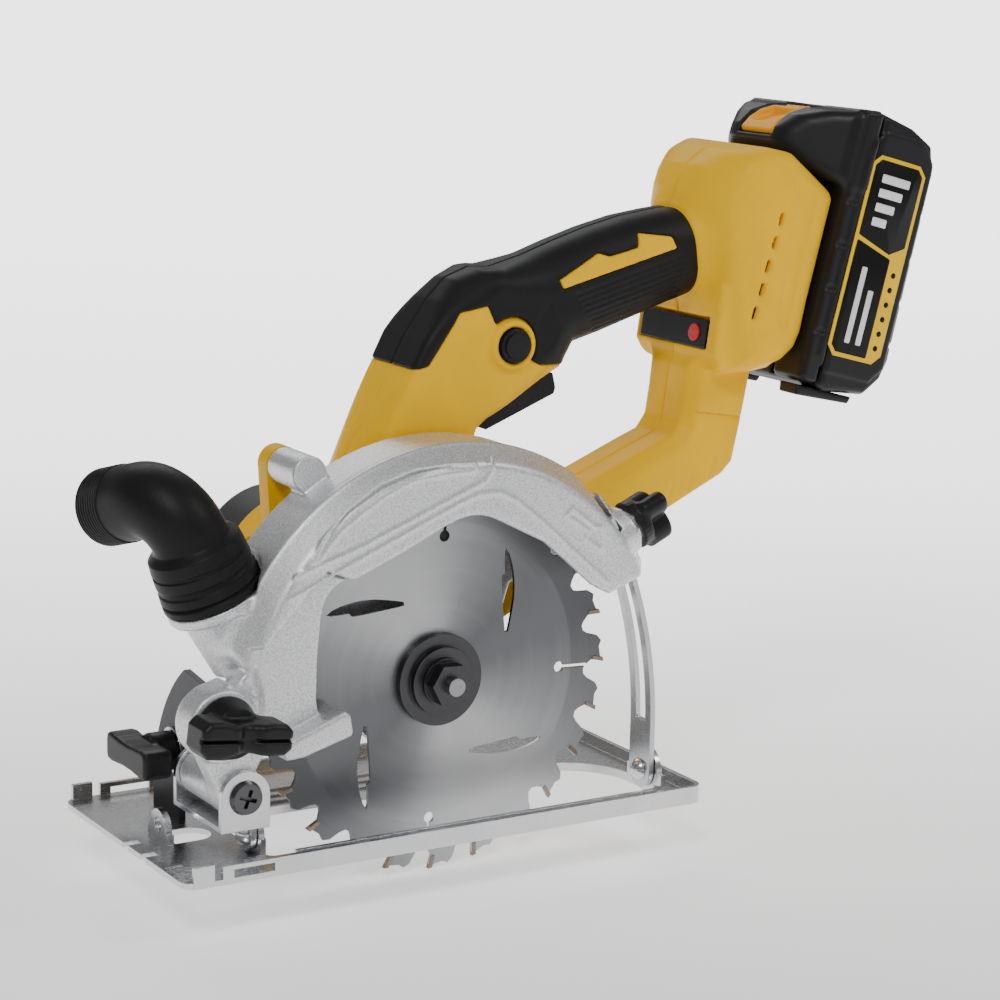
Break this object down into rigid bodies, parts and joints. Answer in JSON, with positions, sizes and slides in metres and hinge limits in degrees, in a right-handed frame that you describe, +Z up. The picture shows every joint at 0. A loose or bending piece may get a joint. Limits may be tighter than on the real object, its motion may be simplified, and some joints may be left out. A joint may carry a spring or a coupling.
{
  "type": "cordless circular saw",
  "caption": "Cordless circular saw with cast blade guard, tilting shoe, loop handle, dust elbow and slide-on battery.",
  "frame": {"origin": "on the sole plane, in the blade's plane, under the blade's centre in the stored pose", "axes": "+X from the front of the saw to its rear, +Y from the blade side to the motor side, +Z up from the sole"},
  "size_m": [0.3294, 0.136, 0.269],
  "materials": {
    "plated_steel": "bright zinc plate",
    "dark_steel": "satin",
    "strap_steel": "brushed",
    "rivet_steel": "bright",
    "screw_steel": "black oxide",
    "cast_aluminium": "sparkling cast and painted silver",
    "machined_aluminium": "machined",
    "yellow_plastic": "satin",
    "dark_plastic": "matte",
    "grip_rubber": "matte",
    "knob_plastic": "fine grain",
    "cap_plastic": "matte",
    "elbow_rubber": "matte",
    "panel_plastic": "gloss",
    "red_plastic": "gloss",
    "circuit_board": "satin",
    "contact_brass": "bright",
    "blade_steel": "radially ground",
    "carbide": "ground and brazed",
    "flange_steel": "black oxide",
    "bearing_steel": "polished",
    "core_steel": "laminated",
    "copper": "enamelled wire",
    "gear_steel": "hobbed",
    "battery_plastic": "fine grain",
    "label_film": "satin film",
    "cell_sleeve": "gloss",
    "latch_plastic": "satin"
  },
  "bodies": {
    "shoe": {"shoe_plate": "plated_steel", "bevel_quadrant": "dark_steel", "front_bevel_rivet": "rivet_steel", "rear_bevel_rivet": "rivet_steel"},
    "bevel_carrier": {"pivot_bracket": "plated_steel", "depth_strap": "strap_steel", "depth_pivot_screw": "screw_steel", "bevel_clamp_bolt": "rivet_steel"},
    "saw_body": {"blade_guard": "cast_aluminium", "dust_spigot": "machined_aluminium", "gear_case": "cast_aluminium", "motor_housing": "yellow_plastic", "motor_cap": "cap_plastic", "motor_stator": "core_steel", "motor_windings": "copper", "housing_screw": "screw_steel", "spindle_front_bearing": "bearing_steel", "spindle_rear_bearing": "bearing_steel", "rotor_front_bearing": "bearing_steel", "rotor_rear_bearing": "bearing_steel", "depth_clamp_stud": "screw_steel", "front_clamp_stud": "screw_steel", "handle_shell_left": "yellow_plastic", "handle_shell_right": "yellow_plastic", "handle_screws": "screw_steel", "grip_left": "grip_rubber", "grip_right": "grip_rubber", "grip_inlay_left": "yellow_plastic", "grip_inlay_right": "yellow_plastic", "display_panel": "panel_plastic", "control_board": "circuit_board", "switch_module": "dark_plastic", "battery_terminals": "contact_brass"},
    "blade_spindle": {"blade": "blade_steel", "blade_tips": "carbide", "inner_flange": "flange_steel", "outer_flange": "flange_steel", "spindle": "gear_steel", "spindle_nut": "flange_steel", "output_gear": "gear_steel"},
    "rotor": {"rotor_shaft": "gear_steel", "rotor_core": "core_steel", "cooling_fan": "dark_plastic"},
    "trigger_body": {"trigger": "knob_plastic"},
    "lock_off": {"lock_off_button": "knob_plastic"},
    "power_switch": {"power_button": "red_plastic"},
    "depth_clamp": {"depth_knob": "knob_plastic", "depth_washer": "rivet_steel"},
    "bevel_clamp": {"bevel_knob": "knob_plastic", "bevel_washer": "rivet_steel"},
    "front_clamp": {"front_knob": "knob_plastic"},
    "dust_outlet": {"dust_elbow": "elbow_rubber"},
    "battery": {"battery_case": "battery_plastic", "battery_cover": "battery_plastic", "battery_bumper": "battery_plastic", "battery_label": "label_film", "battery_cells": "cell_sleeve"},
    "battery_release": {"battery_latch": "latch_plastic"}
  },
  "joints": [
    {"name": "bevel", "type": "hinge", "parent": "shoe", "child": "bevel_carrier", "pos_m": [-0.08, -0.011, 0.008], "axis": [1, 0, 0], "range_deg": [0, 45]},
    {"name": "depth", "type": "hinge", "parent": "bevel_carrier", "child": "saw_body", "pos_m": [-0.085, 0, 0.0244], "axis": [0, 1, 0], "range_deg": [-1, 10]},
    {"name": "blade_spin", "type": "hinge", "parent": "saw_body", "child": "blade_spindle", "pos_m": [-0.00002, 0, 0.04977], "axis": [0, 1, 0], "continuous": true},
    {"name": "rotor_spin", "type": "hinge", "parent": "saw_body", "child": "rotor", "pos_m": [-0.0219, 0.06, 0.07632], "axis": [0, 1, 0], "continuous": true},
    {"name": "trigger_pull", "type": "slide", "parent": "saw_body", "child": "trigger_body", "axis": [-0.3598, 0, 0.933], "range_m": [0, 0.004], "stiffness_N_per_m": 700, "springref_m": -0.003},
    {"name": "lock_off_press", "type": "slide", "parent": "saw_body", "child": "lock_off", "axis": [0, 1, 0], "range_m": [0, 0.0025], "stiffness_N_per_m": 600, "springref_m": -0.002},
    {"name": "power_press", "type": "slide", "parent": "saw_body", "child": "power_switch", "axis": [0.9898, 0, -0.1426], "range_m": [0, 0.0008], "stiffness_N_per_m": 800, "springref_m": -0.0005},
    {"name": "depth_knob_turn", "type": "hinge", "parent": "saw_body", "child": "depth_clamp", "pos_m": [0.07151, -0.011, 0.09905], "axis": [0.9026, 0, 0.4305], "range_deg": [-90, 0]},
    {"name": "bevel_knob_turn", "type": "hinge", "parent": "bevel_carrier", "child": "bevel_clamp", "pos_m": [-0.095, 0.03148, 0.02691], "axis": [-1, 0, 0], "range_deg": [0, 75]},
    {"name": "front_knob_turn", "type": "hinge", "parent": "saw_body", "child": "front_clamp", "pos_m": [-0.09449, -0.03, 0.0508], "axis": [0, -1, 0], "range_deg": [0, 60]},
    {"name": "dust_swivel", "type": "hinge", "parent": "saw_body", "child": "dust_outlet", "pos_m": [-0.08388, 0.005, 0.08796], "axis": [-0.3987, 0, 0.9171], "range_deg": [-15, 150]},
    {"name": "battery_slide", "type": "slide", "parent": "saw_body", "child": "battery", "axis": [0.2504, 0, 0.9681], "range_m": [0, 0.072]},
    {"name": "battery_latch_press", "type": "slide", "parent": "battery", "child": "battery_release", "axis": [0.9681, 0, -0.2504], "range_m": [0, 0.004], "stiffness_N_per_m": 900, "springref_m": -0.003}
  ],
  "couplings": [
    {"joint": "rotor_spin", "follows": "blade_spin", "ratio": -3.3}
  ]
}
